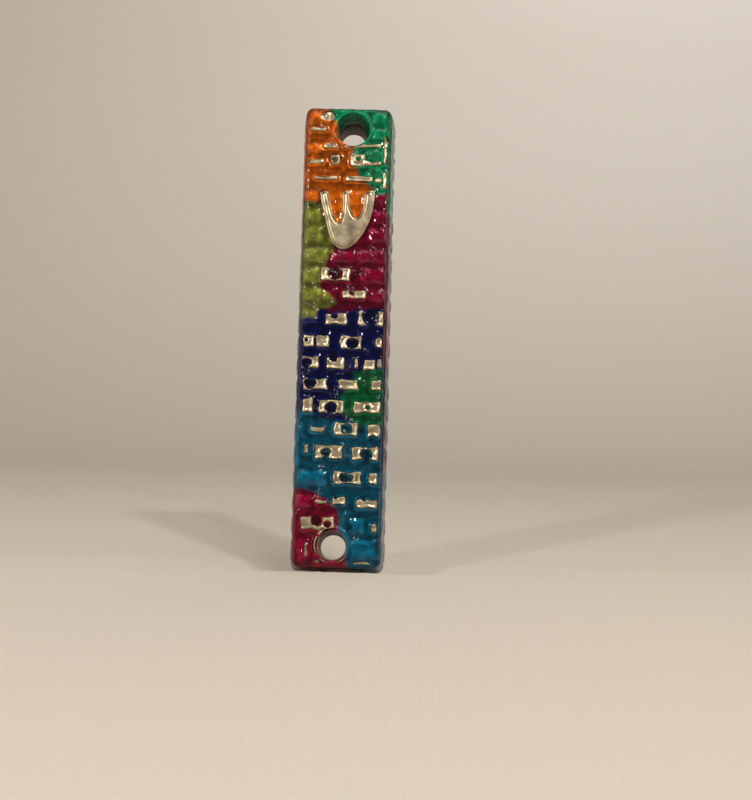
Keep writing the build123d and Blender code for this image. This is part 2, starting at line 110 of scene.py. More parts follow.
# Courses of the wall, from the top of the face down: top, bottom, and the stones of each as
# (left, right, top, bottom, height, pits), with a pit as (across, down, radius).
COURSES = [
    (0.7, 2.2, [(0.5, 3.0, 0.7, 2.2, LOW, []), (10.2, 12.3, 0.7, 2.2, LOW, [])]),
    (3.0, 4.6, [(0.5, 2.9, 3.0, 3.7, HIGH, []), (10.4, 12.3, 3.1, 4.6, LOW, [])]),
    (5.5, 6.5, [(0.5, 2.2, 5.6, 6.8, LOW, []), (2.6, 4.9, 5.5, 6.4, HIGH, []),
                (5.7, 11.6, 5.5, 6.2, HIGH, []), (11.9, 12.5, 5.8, 9.0, HIGH, [])]),
    (7.1, 9.2, [(0.4, 2.8, 8.0, 8.9, HIGH, []), (3.7, 5.2, 7.2, 9.0, HIGH, [(4.4, 8.1, 0.35)]),
                (6.7, 9.1, 7.0, 9.2, HIGH, [(8.1, 7.9, 0.3)]),
                 (8.9, 11.6, 8.2, 9.0, HIGH, [])]),
    (10.6, 11.7, [(1.2, 5.0, 10.7, 11.4, HIGH, []), (6.1, 10.3, 10.6, 11.6, HIGH, []),
                  (10.6, 11.7, 10.8, 11.7, HIGH, []), (11.9, 12.5, 9.7, 12.7, HIGH, [])]),
    (13.0, 14.4, [(0.4, 1.9, 13.0, 14.4, LOW, []), (10.9, 12.4, 13.2, 14.6, LOW, [])]),
    (15.9, 17.8, [(0.4, 2.3, 15.9, 17.8, LOW, []), (10.7, 12.4, 16.0, 17.9, LOW, [])]),
    (18.8, 20.9, [(0.4, 2.6, 18.8, 20.9, LOW, []), (10.2, 12.4, 18.9, 20.8, LOW, [])]),
    (22.1, 24.0, [(0.4, 3.7, 22.1, 24.0, LOW, []), (4.4, 8.0, 22.4, 24.0, LOW, []),
                  (8.6, 12.4, 22.2, 24.0, LOW, [])]),
    (25.0, 27.2, [(0.4, 2.3, 25.0, 27.2, LOW, []), (2.8, 7.3, 25.0, 27.2, HIGH, [(5.0, 25.8, 1.1)]),
                  (9.2, 12.4, 25.1, 27.2, LOW, [])]),
    (28.4, 30.0, [(0.4, 2.8, 28.4, 30.0, LOW, []), (3.3, 5.1, 28.4, 30.0, LOW, []),
                  (6.1, 9.9, 28.5, 29.9, HIGH, [(7.6, 28.9, 0.4)]),
                  (10.4, 12.4, 28.5, 30.0, LOW, [])]),
    (31.6, 33.9, [(0.5, 2.5, 31.6, 33.6, LOW, []), (3.7, 7.0, 32.0, 33.9, HIGH, [(5.0, 32.5, 0.45)]),
                  (8.7, 12.5, 31.6, 33.9, HIGH, [(10.6, 32.6, 1.3)])]),
    (35.4, 37.5, [(0.4, 2.1, 35.4, 37.4, HIGH, [(0.9, 36.3, 0.3)]), (2.4, 4.4, 35.4, 37.4, HIGH, []),
                  (6.0, 9.3, 35.4, 37.6, HIGH, [(7.9, 36.6, 0.85)]),
                  (11.4, 12.5, 35.5, 37.3, HIGH, [])]),
    (38.7, 40.7, [(0.4, 2.9, 38.7, 40.6, HIGH, [(1.0, 39.8, 0.8)]),
                  (4.0, 6.8, 38.7, 40.7, HIGH, [(5.1, 38.9, 0.55)]),
                  (8.2, 8.9, 38.8, 40.6, HIGH, []), (9.7, 11.5, 39.0, 40.8, HIGH, []),
                  (11.8, 12.5, 38.8, 40.5, HIGH, [])]),
    (42.0, 43.9, [(0.6, 4.3, 42.0, 43.9, HIGH, [(1.7, 42.8, 0.85)]),
                  (6.0, 9.0, 42.1, 43.8, HIGH, []), (11.0, 12.5, 42.0, 43.8, HIGH, [])]),
    (45.2, 47.4, [(0.7, 2.2, 45.0, 47.4, HIGH, []), (3.1, 6.9, 45.2, 47.4, HIGH, [(4.9, 46.5, 0.85)]),
                  (8.3, 12.5, 45.4, 47.3, HIGH, [(10.6, 46.4, 0.25)])]),
    (48.6, 50.9, [(2.0, 4.1, 49.5, 50.2, HIGH, []), (5.5, 9.1, 48.6, 50.7, HIGH, [(7.4, 49.6, 0.8)]),
                  (10.5, 12.5, 48.7, 50.9, HIGH, [(11.4, 51.0, 0.5)])]),
    (52.0, 54.4, [(1.1, 1.8, 52.0, 53.6, HIGH, []),
                  (2.7, 6.9, 52.0, 54.3, HIGH, [(4.4, 53.3, 0.65), (4.4, 54.2, 0.5)]),
                  (8.3, 12.3, 52.2, 54.4, HIGH, [(10.5, 53.4, 0.9), (10.5, 54.4, 0.6)])]),
    (56.0, 58.0, [(0.5, 4.5, 56.1, 58.0, LOW, []),
                  (5.6, 9.9, 56.0, 58.0, HIGH, [(7.4, 56.9, 0.75), (8.1, 57.0, 0.5)]),
                  (10.9, 12.3, 56.1, 58.0, HIGH, [])]),
    (59.7, 61.5, [(0.4, 2.2, 59.7, 61.4, LOW, []), (3.0, 4.9, 60.3, 61.0, HIGH, []),
                  (5.5, 7.6, 59.8, 61.1, HIGH, [(6.1, 59.8, 0.4)]),
                  (9.2, 12.3, 60.0, 61.5, HIGH, [(10.3, 59.9, 0.4)])]),
    (62.8, 64.9, [(1.0, 6.0, 62.8, 64.9, HIGH, [(3.4, 63.3, 0.9), (4.9, 63.9, 0.6)]),
                  (8.6, 10.4, 63.0, 65.0, LOW, []), (11.5, 12.3, 63.6, 65.1, HIGH, [])]),
    (66.2, 69.1, [(0.8, 2.3, 66.3, 69.2, LOW, []), (8.8, 12.2, 66.2, 69.0, LOW, [])]),
]

# Enamel colours in the order that they claim the face, as (across, down) outlines.
BEYOND = 4.0
LEFT, TOP = -BEYOND, -BEYOND
RIGHT, BOTTOM = LAYOUT_WIDTH + BEYOND, LAYOUT_LENGTH + BEYOND
SIDE = LAYOUT_WIDTH - 0.1
PATCHES = {
    "enamel_orange": [(LEFT, TOP), (3.4, TOP), (3.4, 0.8), (5.0, 3.0), (6.6, 5.0), (7.4, 9.2),
                      (9.2, 12.1), (10.5, 12.5), (10.5, 13.6), (9.4, 17.0), (6.5, 20.0),
                      (3.6, 18.0), (2.4, 14.8), (LEFT, 14.8)],
    "enamel_emerald": [(3.4, TOP), (RIGHT, TOP), (RIGHT, 16.5), (SIDE, 16.5), (SIDE, 13.2),
                       (9.4, 14.0), (6.0, 11.0), (3.4, 2.0)],
    "enamel_olive": [(LEFT, 14.0), (2.6, 14.0), (5.2, 19.5), (4.7, 22.3), (3.8, 23.6), (3.6, 24.7),
                     (2.7, 25.2), (2.7, 28.2), (4.9, 29.9), (5.2, 30.8), (2.8, 31.6),
                     (2.1, 32.8), (LEFT, 33.2)],
    "enamel_crimson_upper": [(2.0, 12.0), (RIGHT, 12.0), (RIGHT, 40.0), (SIDE, 40.0),
                             (SIDE, 31.2), (8.6, 31.2), (5.0, 31.9), (2.0, 31.3)],
    "enamel_jade": [(8.0, 40.9), (SIDE, 40.6), (SIDE, 48.8), (8.2, 48.6), (7.0, 47.6),
                    (6.7, 45.4), (6.0, 44.5), (7.7, 43.6), (8.7, 42.2)],
    "enamel_cobalt": [(LEFT, 30.0), (RIGHT, 30.0), (RIGHT, 56.0), (SIDE, 56.0), (SIDE, 48.4),
                      (5.4, 48.6), (3.0, 47.9), (1.8, 47.0), (LEFT, 46.9)],
    "enamel_crimson_lower": [(LEFT, 58.6), (1.0, 58.7), (3.0, 59.3), (4.5, 60.1), (5.2, 61.0),
                             (6.5, 61.6), (6.6, 65.0), (7.9, 68.0), (8.0, BOTTOM),
                             (LEFT, BOTTOM)],
    "enamel_turquoise": [(LEFT, 30.0), (RIGHT, 30.0), (RIGHT, BOTTOM), (LEFT, BOTTOM)],
}

# Places wiped nearly bare, as (across, down, half width, half height); single drops of enamel
# standing on the metal, and spots where the enamel is drawn darker, as (across, down, radius).
WIPED = [(3.1, 1.1, 1.2, 0.8), (4.6, 3.5, 0.3, 1.2), (12.2, 4.9, 0.3, 0.9), (4.4, 7.9, 1.0, 0.9),
         (3.15, 66.9, 0.4, 1.5), (7.1, 69.1, 0.9, 0.4), (4.4, 69.3, 1.3, 0.35),
         (10.4, 69.6, 1.5, 0.25), (1.9, 67.6, 0.25, 1.3), (4.6, 64.9, 1.2, 0.6)]
DROPS = [(10.5, 7.0, 1.1), (10.65, 10.0, 1.15)]
DARK_SPOTS = [(1.2, 15.1, 0.5), (2.0, 15.0, 0.5), (9.8, 49.5, 0.75), (8.35, 64.3, 0.4),
              (2.9, 46.6, 0.5), (2.6, 48.0, 0.5)]

# The emblem's outline as (across from the middle, down from the tips), with its sides run on past
# the tips, and the two bays between its prongs. Its steps are (height, from, to) inside the edge.
EMBLEM_BOWL = [(-4.2, -1.2), (-4.1, 0.4), (-3.8, 2.2), (-3.2, 4.5), (-2.6, 6.8), (-1.8, 8.5),
               (-0.4, 9.25), (1.1, 8.6), (2.5, 6.9), (3.6, 4.6), (4.1, 2.3), (4.3, 0.0),
               (4.35, -1.2)]
EMBLEM_LEFT_BAY = [(-2.95, -1.6), (-2.65, 0.2), (-2.3, 2.2), (-1.8, 4.0), (-1.15, 5.0),
                   (-0.75, 4.1), (-0.65, 2.6), (-0.7, 0.2), (-0.75, -1.6)]
EMBLEM_RIGHT_BAY = [(0.4, -1.6), (0.45, 0.2), (0.55, 2.2), (0.95, 3.5), (1.6, 4.3), (2.15, 3.5),
                    (2.5, 2.2), (2.68, 0.2), (2.9, -1.6)]
EMBLEM_TOP = FACE_LENGTH / 2 - 12.6
EMBLEM_STEPS = ((0.66, -0.12, 0.1), (0.34, 0.16, 0.5))


def hex_linear(code):
    """sRGB hex to linear red, green, blue."""
    values = [int(code[i:i + 2], 16) / 255 for i in (1, 3, 5)]
    return [v / 12.92 if v <= 0.04045 else ((v + 0.055) / 1.055) ** 2.4 for v in values]


# Lamps, in metres: name, place, aim, width, watts, spread in degrees and colour.
CENTRE = (0, 0, 0)
LAMPS = (
    ("soft_box", (0.10, -0.24, 0.44), CENTRE, 0.30, 0.5, 180, "#FFF8EE"),
    ("spark_high", (0.17, -0.42, 0.29), CENTRE, 0.035, 0.75, 180, "#FFF6EA"),
    ("spark_mid", (0.11, -0.46, 0.27), CENTRE, 0.03, 0.32, 180, "#FFF6EA"),
    ("spark_left", (-0.24, -0.42, 0.14), CENTRE, 0.035, 0.65, 180, "#FFF6EA"),
    ("spark_low", (0.05, -0.46, -0.20), CENTRE, 0.02, 0.06, 180, "#FFF6EA"),
    ("left_card", (-0.42, -0.12, 0.08), CENTRE, 0.35, 0.4, 180, "#FFF8F0"),
    ("right_card", (0.42, -0.12, 0.08), CENTRE, 0.35, 0.45, 180, "#FFF8F0"),
    ("wall_wash", (0.26, 0.20, 0.74), (0.16, 0.55, 0.52), 0.4, 1.35, 90, "#F4F8FF"),
)
ROOM_LIGHT, ROOM_COLOUR = 0.22, "#F4EFE6"
LENS, SENSOR = 67.5, 36.0
CAMERA_PLACE = (0.0064, -0.2276, -0.0413)
CAMERA_TURNS = (("X", -8.14), ("Y", 0.31), ("Z", 1.51))


# ---- what a user would change -----------------------------------------------------------------
def colour_property(name, description, code):
    return bpy.props.FloatVectorProperty(
        name=name, description=description, default=hex_linear(code), subtype="COLOR",
        min=0.0, max=1.0, size=3)


class MezuzahMetal(bpy.types.PropertyGroup):
    cell: bpy.props.FloatProperty(
        name="Detail", description="Spacing of the relief's mesh, in millimetres",
        default=0.13, min=0.08, max=0.5)
    edge: bpy.props.FloatProperty(
        name="Edge softness", description="Rounding of the stones' edges, in millimetres",
        default=0.26, min=0.05, max=0.5)
    white_metal: colour_property("White metal", "Colour of the bare casting", "#D8C8A8")


class MezuzahEnamel(bpy.types.PropertyGroup):
    level: bpy.props.FloatProperty(
        name="Level", description="Height of the enamel over the ground, in millimetres",
        default=0.42, min=0.1, max=0.7)
    bleed: bpy.props.FloatProperty(
        name="Bleed", description="How far neighbouring colours run together, in millimetres",
        default=0.35, min=0.05, max=1.0)
    enamel_orange: colour_property("Orange", "Enamel at the top left", "#C45C00")
    enamel_emerald: colour_property("Emerald", "Enamel at the top right", "#007E54")
    enamel_olive: colour_property("Olive", "Enamel at the left", "#74782E")
    enamel_crimson_upper: colour_property("Upper crimson", "Enamel at the right", "#700028")
    enamel_jade: colour_property("Jade", "Small pool in the middle", "#006638")
    enamel_cobalt: colour_property("Cobalt", "Enamel round the middle", "#020B50")
    enamel_turquoise: colour_property("Turquoise", "Enamel at the lower right", "#005C7A")
    enamel_crimson_lower: colour_property("Lower crimson", "Enamel at the lower left", "#86002E")


# ---- nodes and meshes -------------------------------------------------------------------------
def add_node(tree, kind, settings=None, links=None, inputs=None):
    """Adds a shader node, sets its properties and input values, and links its inputs."""
    node = tree.nodes.new(kind)
    for key, value in (settings or {}).items():
        setattr(node, key, value)
    for key, value in (inputs or {}).items():
        node.inputs[key].default_value = value
    for key, (source, output) in (links or {}).items():
        tree.links.new(source.outputs[output], node.inputs[key])
    return node


def new_material(name):
    material = bpy.data.materials.new(name)
    material.use_nodes = True
    material.node_tree.nodes.clear()
    return material, material.node_tree


def finish_material(tree, shader):
    add_node(tree, "ShaderNodeOutputMaterial", links={"Surface": (shader, 0)})


def mesh_object(name, points, quads, material, corner_normals=None, attributes=None):
    """A mesh from millimetre points and four-cornered faces."""
    mesh = bpy.data.meshes.new(name)
    mesh.vertices.add(len(points))
    mesh.vertices.foreach_set("co", (np.asarray(points, np.float32) * MM).ravel())
    mesh.loops.add(4 * len(quads))
    mesh.loops.foreach_set("vertex_index", np.asarray(quads, np.int32).ravel())
    mesh.polygons.add(len(quads))
    mesh.polygons.foreach_set("loop_start", np.arange(0, 4 * len(quads), 4, dtype=np.int32))
    mesh.update(calc_edges=True)
    mesh.shade_smooth()
    for key, values in (attributes or {}).items():
        kind, field = ("FLOAT_COLOR", "color") if values.ndim == 2 else ("FLOAT", "value")
        layer = mesh.attributes.new(key, kind, "POINT")
        if values.ndim == 2:
            values = np.hstack([values, np.ones((len(values), 1))])
        layer.data.foreach_set(field, values.astype(np.float32).ravel())
    if corner_normals is not None:
        mesh.normals_split_custom_set(corner_normals.reshape(-1, 3).tolist())
    mesh.materials.append(material)
    piece = bpy.data.objects.new(name, mesh)
    bpy.context.scene.collection.objects.link(piece)
    return piece


# ---- relief, as fields over the face ----------------------------------------------------------
def smooth(value, low, high):
    """Rises from 0 to 1 between low and high."""
    t = np.clip((value - low) / (high - low), 0.0, 1.0)
    return t * t * (3 - 2 * t)


def ripple(wavelength, seed, *coords):
    """Smooth unevenness between -1 and 1, of about one wavelength in millimetres."""
    rng = np.random.default_rng(seed)
    total = 0.0
    waves = 7
    for _ in range(waves):
        direction = rng.normal(size=len(coords))
        direction *= 2 * math.pi / (wavelength * rng.uniform(0.7, 1.5) * np.linalg.norm(direction))
        phase = sum(d * c for d, c in zip(direction, coords)) + rng.uniform(0, 2 * math.pi)
        total = total + np.sin(phase)
    return total / math.sqrt(2 * waves)


def face_to_layout(x, z):
    """From the face to the layout of stones and colours: across from the left, down from the top."""
    return (x / FACE_WIDTH + 0.5) * LAYOUT_WIDTH, (0.5 - z / FACE_LENGTH) * LAYOUT_LENGTH


def outline_distance(px, py, outline):
    """Signed distance to a closed outline, negative inside."""
    nearest = np.full(px.shape, 1e9)
    inside = np.zeros(px.shape, bool)
    for (ax, ay), (bx, by) in zip(outline, outline[1:] + outline[:1]):
        dx, dy = bx - ax, by - ay
        along = np.clip(((px - ax) * dx + (py - ay) * dy) / (dx * dx + dy * dy + 1e-12), 0, 1)
        nearest = np.minimum(nearest, np.hypot(px - ax - along * dx, py - ay - along * dy))
        if by != ay:
            crosses = ((ay > py) != (by > py)) & (px < dx * (py - ay) / (by - ay) + ax)
            inside ^= crosses
    return np.where(inside, -nearest, nearest)


def curve_through(points, steps=14):
    """A smooth line through the points (Catmull-Rom)."""
    p = np.array([points[0], *points, points[-1]], float)
    out = []
    for a, b, c, d in zip(p, p[1:], p[2:], p[3:]):
        for t in np.linspace(0, 1, steps, endpoint=False):
            out.append(0.5 * (2 * b + (c - a) * t + (2 * a - 5 * b + 4 * c - d) * t ** 2
                              + (3 * b - a - 3 * c + d) * t ** 3))
    out.append(p[-1])
    return [tuple(q) for q in out]


def emblem_distance(x, z):
    """Signed distance to the emblem's outline, negative inside."""
    down = EMBLEM_TOP - z
    solid = outline_distance(x, down, curve_through(EMBLEM_BOWL))
    for bay in (EMBLEM_LEFT_BAY, EMBLEM_RIGHT_BAY):
        solid = np.maximum(solid, -outline_distance(x, down, curve_through(bay)))
    return soft_larger(solid, 0.15 - 0.04 * x - down, 0.55)


def stone_distance(a, d, left, right, top, bottom):
    """Signed distance to one stone, waisted in the middle as a hand-cut block is."""
    mid_a, mid_d = (left + right) / 2, (top + bottom) / 2
    half_a, half_d = (right - left) / 2, (bottom - top) / 2
    along = np.clip((a - mid_a) / half_a, -1, 1)
    waist = 1.0 - 0.13 * (1 - along ** 2)
    round_off = 0.3
    qa = np.abs(a - mid_a) - (half_a - round_off)
    qd = np.abs(d - mid_d) - (half_d * waist - round_off)
    outside = np.hypot(np.maximum(qa, 0), np.maximum(qd, 0))
    return outside + np.minimum(np.maximum(qa, qd), 0) - round_off


def relief_maps(x, z, edge, level):
    """Heights of the metal and of the enamel over the front ground, and where the enamel is drawn
    darker, as deeper enamel and painted shade.
    """
    a, d = face_to_layout(x, z)
    a = a + 0.11 * ripple(1.7, 11, x, z)
    d = d + 0.11 * ripple(1.9, 12, x, z)
    high = np.full(x.shape, 9.0)
    low = np.full(x.shape, 9.0)
    for _, _, row in COURSES:
        for left, right, top, bottom, height, pits in row:
            here = stone_distance(a, d, left, right, top, bottom)
            for across, down, radius in pits:
                here = np.maximum(here, radius - np.hypot(a - across, d - down))
            if height == HIGH:
                high = np.minimum(high, here)
            else:
                low = np.minimum(low, here)
    emblem = emblem_distance(x, z)
    field = np.maximum(high - 0.08, 0.12 - emblem)
    metal = HIGH * smooth(-field, -edge, edge) + LOW * smooth(-low, -0.3, 0.35)
    metal += 0.1 * np.exp(-((field + 0.26) / 0.15) ** 2)
    metal += 0.03 * smooth(-field, 0.0, 0.3) * ripple(1.5, 13, x, z)
    metal += 0.05 * smooth(field, 0.0, 0.3) * ripple(1.2, 14, x, z)
    bare = np.minimum(field, emblem)
    collars = np.full(x.shape, 9.0)
    for hx, hz, mouth in HOLES:
        collars = np.minimum(collars, np.hypot(x - hx, z - hz) - (mouth + COLLAR_WIDTH))
    metal = np.maximum(metal, COLLAR_HEIGHT * smooth(-collars, -0.25, 0.2))
    enamel = level + 0.12 * np.exp(-np.maximum(bare, 0) / 0.25)
    enamel += 0.22 * smooth(-low, -0.45, 0.55) + 0.03 * ripple(1.7, 15, x, z)
    enamel = np.maximum(enamel, (COLLAR_HEIGHT + 0.08) * smooth(-collars, -0.4, 0.05))
    for across, down, half_a, half_d in WIPED:
        reach = np.hypot((a - across) / half_a, (d - down) / half_d)
        enamel -= 0.5 * smooth(-reach, -1.15, -0.75)
    for across, down, radius in DROPS:
        reach = np.hypot(a - across, (d - down) / 0.75) / radius
        metal = np.maximum(metal, DROP_METAL * smooth(-reach, -1.3, -0.8))
        dome = DROP_HEIGHT - 0.35 * reach ** 2 - 3.0 * np.maximum(reach - 1, 0)
        enamel = np.maximum(enamel, dome)
    # The joints between stones hold more enamel than the open ground, and are darkened further as
    # painted shade; the pits are darkened the same way, and the listed spots too.
    joint = np.minimum(high, low)
    extra_deep_and_shade = 0.65 * smooth(joint, 0.08, 0.4) * smooth(-joint, -1.5, -0.8)
    for _, _, row in COURSES:
        for *_, pits in row:
            for across, down, radius in pits:
                extra_deep_and_shade = np.maximum(extra_deep_and_shade, smooth(radius - np.hypot(a - across, d - down), -0.2, 0.15))
    for across, down, radius in DARK_SPOTS:
        extra_deep_and_shade = np.maximum(extra_deep_and_shade, smooth(radius - np.hypot(a - across, d - down), -0.25, 0.15))
    return metal, enamel, extra_deep_and_shade


# ---- solids, as fields in space ---------------------------------------------------------------
def rounded_rectangle(x, z, half_width, half_length, radius):
    """Signed distance to a rectangle with round corners, negative inside."""
    qx = np.abs(x) - (half_width - radius)
    qz = np.abs(z) - (half_length - radius)
    return np.hypot(np.maximum(qx, 0), np.maximum(qz, 0)) + np.minimum(np.maximum(qx, qz), 0) - radius


def soft_larger(a, b, blend):
    """The larger of two fields, with the edge between them rounded."""
    h = np.maximum(blend - np.abs(a - b), 0) / blend
    return np.maximum(a, b) + h * h * blend * 0.25


def course_swell(z, t):
    """1 on the courses and 0 in the joints between them, for the side walls."""
    _, down = face_to_layout(0, z)
    down = down + 0.12 * ripple(3.0, 21, z, t)
    swell = 0.0
    for number, (top, bottom, _) in enumerate(COURSES):
        band = smooth(down, top - 0.25, top + 0.3) * smooth(-down, -bottom - 0.25, -bottom + 0.3)
        joint_at = 2.6 + 2.4 * (number % 2)
        band = band * (1 - 0.75 * np.exp(-((t - joint_at) / 0.28) ** 2))
        swell = np.maximum(swell, band)
    return swell * smooth(t, 0.9, 1.5) * smooth(-t, -7.6, -6.9)


def bore_radius(t, mouth):
    return BORE_RADIUS + np.maximum(t - STRAIGHT_BORE, 0) * (mouth - BORE_RADIUS) / (
        DEPTH - STRAIGHT_BORE)


def grid_of(cell):
    """Grid lines across, out and up, in millimetres, close together only where the relief is."""
    xs = np.arange(-7.5, 7.5 + cell, cell)
    zs = np.arange(-35.7, 35.7 + cell, cell)
    ts = np.concatenate([[-0.15, 0.15], np.arange(0.45, 7.5, 0.25), np.arange(7.55, 9.5, 0.085)])
    return xs, ts, zs


def surface(field, label, xs, ts, zs):
    """Surface nets. Faces come with the label of the grid point inside them, and cut faces lie
    between two labels. Corners are numbered by grid cell."""
    inside = field < 0
    shape = tuple(n - 1 for n in field.shape)
    total = np.zeros(shape + (3,), np.float32)
    count = np.zeros(shape, np.float32)
    axes = (xs, ts, zs)
    faces = []
    for axis in range(3):
        low = [slice(None)] * 3
        high = [slice(None)] * 3
        low[axis], high[axis] = slice(0, -1), slice(1, None)
        low, high = tuple(low), tuple(high)
        changed = inside[low] != inside[high]
        cut = inside[low] & inside[high] & (label[low] != label[high])
        for kind, where in (("surface", changed), ("cut", cut)):
            index = np.argwhere(where)
            if not len(index):
                continue
            others = [k for k in range(3) if k != axis]
            keep = np.all([(index[:, k] > 0) & (index[:, k] < field.shape[k] - 1)
                           for k in others], axis=0)
            index = index[keep]
            i = tuple(index.T)
            beyond = index.copy()
            beyond[:, axis] += 1
            j = tuple(beyond.T)
            cells = []
            for back_1, back_2 in ((1, 1), (0, 1), (0, 0), (1, 0)):
                cell = index.copy()
                cell[:, others[0]] -= back_1
                cell[:, others[1]] -= back_2
                cells.append(cell)
            ids = np.stack([np.ravel_multi_index(tuple(c.T), shape) for c in cells], 1)
            if kind == "surface":
                f0, f1 = field[i], field[j]
                share = f0 / (f0 - f1)
                point = np.stack([axes[k][index[:, k]] for k in range(3)], 1)
                point[:, axis] += share * (axes[axis][index[:, axis] + 1] - point[:, axis])
                for c in cells:
                    np.add.at(total, tuple(c.T), point)
                    np.add.at(count, tuple(c.T), 1)
                outward = f1 > f0
                labels = np.where(inside[i], label[i], label[j])
                faces.append((ids, outward, labels, axis, True))
            else:
                faces.append((ids, np.ones(len(ids), bool), label[i], axis, False))
                faces.append((ids, np.zeros(len(ids), bool), label[j], axis, False))
    centre = np.stack(np.meshgrid(*[(a[1:] + a[:-1]) / 2 for a in axes], indexing="ij"), -1)
    place = np.where(count[..., None] > 0, total / np.maximum(count, 1)[..., None], centre)
    place = place.reshape(-1, 3)
    quads, labels, real = [], [], []
    for ids, outward, lab, axis, is_surface in faces:
        flip = outward if axis != 1 else ~outward
        quads.append(np.where(flip[:, None], ids[:, ::-1], ids))
        labels.append(lab)
        real.append(np.full(len(ids), is_surface))
    return place, np.concatenate(quads), np.concatenate(labels), np.concatenate(real)


def to_frame(points):
    """From across, out and up to the frame, where the front faces -Y."""
    return np.stack([points[:, 0], -points[:, 1], points[:, 2]], 1)


def compact(place, quads):
    """Drops the points that no face uses."""
    used, inverse = np.unique(quads, return_inverse=True)
    return place[used], inverse.reshape(quads.shape)


def thin_out(piece, share):
    """Keeps this share of the faces, and gives up those where the surface is flattest."""
    piece.modifiers.new("thin_out", "DECIMATE").ratio = share
    graph = bpy.context.evaluated_depsgraph_get()
    full, piece.data = piece.data, bpy.data.meshes.new_from_object(piece.evaluated_get(graph))
    piece.modifiers.clear()
    bpy.data.meshes.remove(full)


def smooth_corner_normals(points, quads, angle):
    """Corner normals of the mesh as a whole, with creases above the angle."""
    probe = mesh_object("probe", points, quads, bpy.data.materials.new("probe"))
    probe.data.set_sharp_from_angle(angle=math.radians(angle))
    normals = np.zeros(3 * len(probe.data.loops), np.float32)
    probe.data.corner_normals.foreach_get("vector", normals)
    data = probe.data
    bpy.data.objects.remove(probe)
    bpy.data.meshes.remove(data)
    return normals.reshape(-1, 4, 3)


def case_fields(cell, edge, level):
    """The grid, the fields of the casting and of the enamel, and the enamel's thickness with painted
    shade added in joints and pits.
    """
    xs, ts, zs = grid_of(cell)
    face_x, face_z = np.meshgrid(xs, zs, indexing="ij")
    metal, enamel, extra_deep_and_shade = relief_maps(face_x, face_z, edge, level)
    x, t, z = np.meshgrid(xs, ts, zs, indexing="ij", sparse=True)
    half_width = WIDTH / 2 - t * CLOSING
    half_length = LENGTH / 2 - t * CLOSING
    walls = rounded_rectangle(x, z, half_width, half_length, CORNER)
    swell = course_swell(z, t)
    to_side = smooth(np.abs(x) - half_width, -0.5, -0.1)
    ridged = walls - SIDE_RIDGE * swell * to_side
    casting = soft_larger(ridged, t - (DEPTH + metal[:, None, :]), FRONT_ROUNDING)
    casting = np.maximum(casting, -t)
    skin = SIDE_SKIN + SIDE_SKIN_ON_COURSES * swell + 0.04 * ripple(2.1, 31, x, t, z)
    envelope = soft_larger(walls - skin, t - (DEPTH + enamel[:, None, :]), SKIN_ROUNDING)
    envelope = np.maximum(envelope, BARE_BACK + 0.15 * ripple(2.4, 32, x, z) - t)
    lining = BORE_LINING * smooth(t, LINING_FROM, LINING_FULL)
    for hx, hz, mouth in HOLES:
        radial = np.hypot(x - hx, z - hz)
        bore = bore_radius(t, mouth)
        casting = soft_larger(casting, bore - radial, HOLE_ROUNDING)
        envelope = soft_larger(envelope, bore - lining - radial, HOLE_ROUNDING)
    enamel_field = np.maximum(envelope, -casting)
    middle = (COVER_LO[2] + COVER_HI[2]) / 2
    half_seat_length = (COVER_HI[2] - COVER_LO[2]) / 2 + SEAT_CLEARANCE
    half_seat_width = (COVER_HI[0] - COVER_LO[0]) / 2 + SEAT_CLEARANCE
    seat = rounded_rectangle(x, z - middle, half_seat_width, half_seat_length, SEAT_CORNER)
    cavity = rounded_rectangle(x, z - middle, half_seat_width - SEAT_LEDGE,
                               half_seat_length - SEAT_LEDGE, CAVITY_CORNER)
    hollow = np.minimum(np.maximum(cavity, t - CAVITY_FLOOR), np.maximum(seat, t - COVER_SEAT))
    # Painted shade in the joints and pits is added to the enamel's thickness.
    thickness_and_shade = enamel - metal + EXTRA_DEPTH_AND_SHADE * extra_deep_and_shade
    return xs, ts, zs, np.maximum(casting, -hollow), enamel_field, thickness_and_shade


def colour_shares(x, z, bleed):
    """How much of each enamel colour lies at each place on the face."""
    a, d = face_to_layout(x, z)
    a = a + 0.25 * ripple(2.2, 41, x, z)
    d = d + 0.25 * ripple(2.0, 42, x, z)
    left = np.ones(x.shape)
    shares = {}
    for name, outline in PATCHES.items():
        part = left * smooth(-outline_distance(a, d, outline), -bleed, bleed)
        shares[name] = part
        left = left - part
    shares["enamel_turquoise"] = shares["enamel_turquoise"] + left
    return shares


